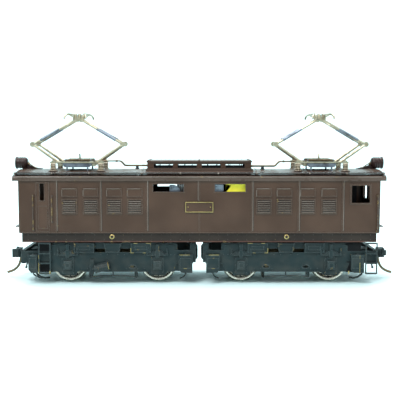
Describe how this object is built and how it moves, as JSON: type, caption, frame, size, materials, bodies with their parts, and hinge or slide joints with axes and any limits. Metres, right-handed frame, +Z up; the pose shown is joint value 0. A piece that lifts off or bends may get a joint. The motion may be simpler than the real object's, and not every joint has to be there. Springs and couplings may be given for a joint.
{
  "type": "model electric locomotive",
  "caption": "Box-cab model electric locomotive on two turning bogies, with raised folding pantographs, knuckle couplers and a geared drive.",
  "frame": {"origin": "middle of the footprint, at the lowest points of the wheel flanges", "axes": "+X along the locomotive towards the right end, +Y across it towards the far side, +Z up"},
  "size_m": [0.1708, 0.0362, 0.0723],
  "materials": {
    "body_paint": "satin",
    "roof_paint": "satin",
    "black_paint": "matte",
    "sill_paint": "satin",
    "steel": "satin",
    "insulation": "matte",
    "brass": "satin",
    "bronze": "satin",
    "nickel": "polished",
    "gear_plastic": "matte",
    "ceramic": "gloss",
    "lens_glass": "clear"
  },
  "bodies": {
    "carbody": {"body_shell": "body_paint", "roof_panel": "roof_paint", "roof_monitor": "body_paint", "roof_walk_near": "black_paint", "roof_walk_far": "black_paint", "underframe": "sill_paint", "motor_case": "steel", "motor_insulation": "insulation", "number_plate_near": "brass", "number_plate_far": "brass", "headlight_left": "body_paint", "headlight_lens_left": "lens_glass", "bus_bar_left": "brass", "pantograph_base_left": "brass", "insulators_outer_left": "ceramic", "insulators_inner_left": "ceramic", "headlight_right": "body_paint", "headlight_lens_right": "lens_glass", "bus_bar_right": "brass", "pantograph_base_right": "brass", "insulators_outer_right": "ceramic", "insulators_inner_right": "ceramic"},
    "drive_shaft": {"drive_shaft": "steel"},
    "bogie_left": {"bogie_frame_left": "black_paint", "gear_housing_left": "brass"},
    "wheelset_outer_left": {"wheelset_outer_left": "nickel"},
    "idler_gear_outer_left": {"idler_gear_outer_left": "gear_plastic"},
    "wheelset_inner_left": {"wheelset_inner_left": "nickel"},
    "idler_gear_inner_left": {"idler_gear_inner_left": "gear_plastic"},
    "worm_wheel_left": {"worm_wheel_left": "gear_plastic"},
    "worm_shaft_left": {"worm_shaft_left": "brass"},
    "coupler_left": {"coupler_left": "black_paint", "trip_pin_left": "bronze"},
    "coupler_knuckle_left": {"coupler_knuckle_left": "black_paint"},
    "lower_arm_outer_left": {"lower_arm_outer_left": "nickel"},
    "upper_arm_outer_left": {"upper_arm_outer_left": "nickel"},
    "lower_arm_inner_left": {"lower_arm_inner_left": "nickel"},
    "upper_arm_inner_left": {"upper_arm_inner_left": "nickel"},
    "pantograph_head_left": {"pantograph_head_left": "nickel"},
    "bogie_right": {"bogie_frame_right": "black_paint", "gear_housing_right": "brass"},
    "wheelset_outer_right": {"wheelset_outer_right": "nickel"},
    "idler_gear_outer_right": {"idler_gear_outer_right": "gear_plastic"},
    "wheelset_inner_right": {"wheelset_inner_right": "nickel"},
    "idler_gear_inner_right": {"idler_gear_inner_right": "gear_plastic"},
    "worm_wheel_right": {"worm_wheel_right": "gear_plastic"},
    "worm_shaft_right": {"worm_shaft_right": "brass"},
    "coupler_right": {"coupler_right": "black_paint", "trip_pin_right": "bronze"},
    "coupler_knuckle_right": {"coupler_knuckle_right": "black_paint"},
    "lower_arm_outer_right": {"lower_arm_outer_right": "nickel"},
    "upper_arm_outer_right": {"upper_arm_outer_right": "nickel"},
    "lower_arm_inner_right": {"lower_arm_inner_right": "nickel"},
    "upper_arm_inner_right": {"upper_arm_inner_right": "nickel"},
    "pantograph_head_right": {"pantograph_head_right": "nickel"}
  },
  "joints": [
    {"name": "drive_shaft_spin", "type": "hinge", "parent": "carbody", "child": "drive_shaft", "pos_m": [0, 0, 0.0272], "axis": [1, 0, 0], "continuous": true},
    {"name": "bogie_yaw_left", "type": "hinge", "parent": "carbody", "child": "bogie_left", "pos_m": [-0.0367, 0, 0.019], "axis": [0, 0, 1], "range_deg": [-4.5, 4.5]},
    {"name": "wheelset_outer_left_spin", "type": "hinge", "parent": "bogie_left", "child": "wheelset_outer_left", "pos_m": [-0.0557, 0, 0.0082], "axis": [0, 1, 0], "continuous": true},
    {"name": "idler_gear_outer_left_spin", "type": "hinge", "parent": "bogie_left", "child": "idler_gear_outer_left", "pos_m": [-0.0455, 0, 0.0082], "axis": [0, 1, 0], "continuous": true},
    {"name": "wheelset_inner_left_spin", "type": "hinge", "parent": "bogie_left", "child": "wheelset_inner_left", "pos_m": [-0.0177, 0, 0.0082], "axis": [0, 1, 0], "continuous": true},
    {"name": "idler_gear_inner_left_spin", "type": "hinge", "parent": "bogie_left", "child": "idler_gear_inner_left", "pos_m": [-0.0279, 0, 0.0082], "axis": [0, 1, 0], "continuous": true},
    {"name": "worm_wheel_left_spin", "type": "hinge", "parent": "bogie_left", "child": "worm_wheel_left", "pos_m": [-0.0367, 0, 0.0175], "axis": [0, 1, 0], "continuous": true},
    {"name": "worm_shaft_left_spin", "type": "hinge", "parent": "bogie_left", "child": "worm_shaft_left", "pos_m": [-0.0367, 0, 0.0272], "axis": [1, 0, 0], "continuous": true},
    {"name": "coupler_swing_left", "type": "hinge", "parent": "bogie_left", "child": "coupler_left", "pos_m": [-0.0693, 0, 0.0112], "axis": [0, 0, 1], "range_deg": [-10, 10]},
    {"name": "knuckle_open_left", "type": "hinge", "parent": "coupler_left", "child": "coupler_knuckle_left", "pos_m": [-0.081, 0.0019, 0.0112], "axis": [0, 0, -1], "range_deg": [0, 30], "stiffness_Nm_per_rad": 0.0002, "springref_deg": -5.73},
    {"name": "pantograph_fold_left", "type": "hinge", "parent": "carbody", "child": "lower_arm_outer_left", "pos_m": [-0.0597, 0, 0.0506], "axis": [0, -1, 0], "range_deg": [0, 31.8], "stiffness_Nm_per_rad": 0.01, "springref_deg": -17.19},
    {"name": "upper_arm_outer_left_fold", "type": "hinge", "parent": "lower_arm_outer_left", "child": "upper_arm_outer_left", "pos_m": [-0.0718, 0, 0.05901], "axis": [0, -1, 0], "range_deg": [-53.65, 0]},
    {"name": "lower_arm_inner_left_fold", "type": "hinge", "parent": "carbody", "child": "lower_arm_inner_left", "pos_m": [-0.0451, 0, 0.0506], "axis": [0, 1, 0], "range_deg": [0, 31.8]},
    {"name": "upper_arm_inner_left_fold", "type": "hinge", "parent": "lower_arm_inner_left", "child": "upper_arm_inner_left", "pos_m": [-0.033, 0, 0.05901], "axis": [0, 1, 0], "range_deg": [-53.65, 0]},
    {"name": "pantograph_head_left_level", "type": "hinge", "parent": "upper_arm_outer_left", "child": "pantograph_head_left", "pos_m": [-0.0536, 0, 0.06959], "axis": [0, -1, 0], "range_deg": [0, 21.85]},
    {"name": "bogie_yaw_right", "type": "hinge", "parent": "carbody", "child": "bogie_right", "pos_m": [0.0367, 0, 0.019], "axis": [0, 0, 1], "range_deg": [-4.5, 4.5]},
    {"name": "wheelset_outer_right_spin", "type": "hinge", "parent": "bogie_right", "child": "wheelset_outer_right", "pos_m": [0.0557, 0, 0.0082], "axis": [0, 1, 0], "continuous": true},
    {"name": "idler_gear_outer_right_spin", "type": "hinge", "parent": "bogie_right", "child": "idler_gear_outer_right", "pos_m": [0.0455, 0, 0.0082], "axis": [0, 1, 0], "continuous": true},
    {"name": "wheelset_inner_right_spin", "type": "hinge", "parent": "bogie_right", "child": "wheelset_inner_right", "pos_m": [0.0177, 0, 0.0082], "axis": [0, 1, 0], "continuous": true},
    {"name": "idler_gear_inner_right_spin", "type": "hinge", "parent": "bogie_right", "child": "idler_gear_inner_right", "pos_m": [0.0279, 0, 0.0082], "axis": [0, 1, 0], "continuous": true},
    {"name": "worm_wheel_right_spin", "type": "hinge", "parent": "bogie_right", "child": "worm_wheel_right", "pos_m": [0.0367, 0, 0.0175], "axis": [0, 1, 0], "continuous": true},
    {"name": "worm_shaft_right_spin", "type": "hinge", "parent": "bogie_right", "child": "worm_shaft_right", "pos_m": [0.0367, 0, 0.0272], "axis": [1, 0, 0], "continuous": true},
    {"name": "coupler_swing_right", "type": "hinge", "parent": "bogie_right", "child": "coupler_right", "pos_m": [0.0693, 0, 0.0112], "axis": [0, 0, 1], "range_deg": [-10, 10]},
    {"name": "knuckle_open_right", "type": "hinge", "parent": "coupler_right", "child": "coupler_knuckle_right", "pos_m": [0.081, -0.0019, 0.0112], "axis": [0, 0, -1], "range_deg": [0, 30], "stiffness_Nm_per_rad": 0.0002, "springref_deg": -5.73},
    {"name": "pantograph_fold_right", "type": "hinge", "parent": "carbody", "child": "lower_arm_outer_right", "pos_m": [0.0597, 0, 0.0506], "axis": [0, 1, 0], "range_deg": [0, 31.8], "stiffness_Nm_per_rad": 0.01, "springref_deg": -17.19},
    {"name": "upper_arm_outer_right_fold", "type": "hinge", "parent": "lower_arm_outer_right", "child": "upper_arm_outer_right", "pos_m": [0.0718, 0, 0.05901], "axis": [0, 1, 0], "range_deg": [-53.65, 0]},
    {"name": "lower_arm_inner_right_fold", "type": "hinge", "parent": "carbody", "child": "lower_arm_inner_right", "pos_m": [0.0451, 0, 0.0506], "axis": [0, -1, 0], "range_deg": [0, 31.8]},
    {"name": "upper_arm_inner_right_fold", "type": "hinge", "parent": "lower_arm_inner_right", "child": "upper_arm_inner_right", "pos_m": [0.033, 0, 0.05901], "axis": [0, -1, 0], "range_deg": [-53.65, 0]},
    {"name": "pantograph_head_right_level", "type": "hinge", "parent": "upper_arm_outer_right", "child": "pantograph_head_right", "pos_m": [0.0536, 0, 0.06959], "axis": [0, 1, 0], "range_deg": [0, 21.85]}
  ],
  "couplings": [
    {"joint": "wheelset_outer_left_spin", "follows": "drive_shaft_spin", "ratio": 0.052632},
    {"joint": "idler_gear_outer_left_spin", "follows": "drive_shaft_spin", "ratio": -0.045455},
    {"joint": "wheelset_inner_left_spin", "follows": "drive_shaft_spin", "ratio": 0.052632},
    {"joint": "idler_gear_inner_left_spin", "follows": "drive_shaft_spin", "ratio": -0.045455},
    {"joint": "worm_wheel_left_spin", "follows": "drive_shaft_spin", "ratio": 0.034483},
    {"joint": "worm_shaft_left_spin", "follows": "drive_shaft_spin", "ratio": 1},
    {"joint": "upper_arm_outer_left_fold", "follows": "pantograph_fold_left", "ratio": -1.6777},
    {"joint": "lower_arm_inner_left_fold", "follows": "pantograph_fold_left", "ratio": 1},
    {"joint": "upper_arm_inner_left_fold", "follows": "pantograph_fold_left", "ratio": -1.6777},
    {"joint": "pantograph_head_left_level", "follows": "pantograph_fold_left", "ratio": 0.6777},
    {"joint": "wheelset_outer_right_spin", "follows": "drive_shaft_spin", "ratio": 0.052632},
    {"joint": "idler_gear_outer_right_spin", "follows": "drive_shaft_spin", "ratio": -0.045455},
    {"joint": "wheelset_inner_right_spin", "follows": "drive_shaft_spin", "ratio": 0.052632},
    {"joint": "idler_gear_inner_right_spin", "follows": "drive_shaft_spin", "ratio": -0.045455},
    {"joint": "worm_wheel_right_spin", "follows": "drive_shaft_spin", "ratio": 0.034483},
    {"joint": "worm_shaft_right_spin", "follows": "drive_shaft_spin", "ratio": 1},
    {"joint": "upper_arm_outer_right_fold", "follows": "pantograph_fold_right", "ratio": -1.6777},
    {"joint": "lower_arm_inner_right_fold", "follows": "pantograph_fold_right", "ratio": 1},
    {"joint": "upper_arm_inner_right_fold", "follows": "pantograph_fold_right", "ratio": -1.6777},
    {"joint": "pantograph_head_right_level", "follows": "pantograph_fold_right", "ratio": 0.6777}
  ]
}
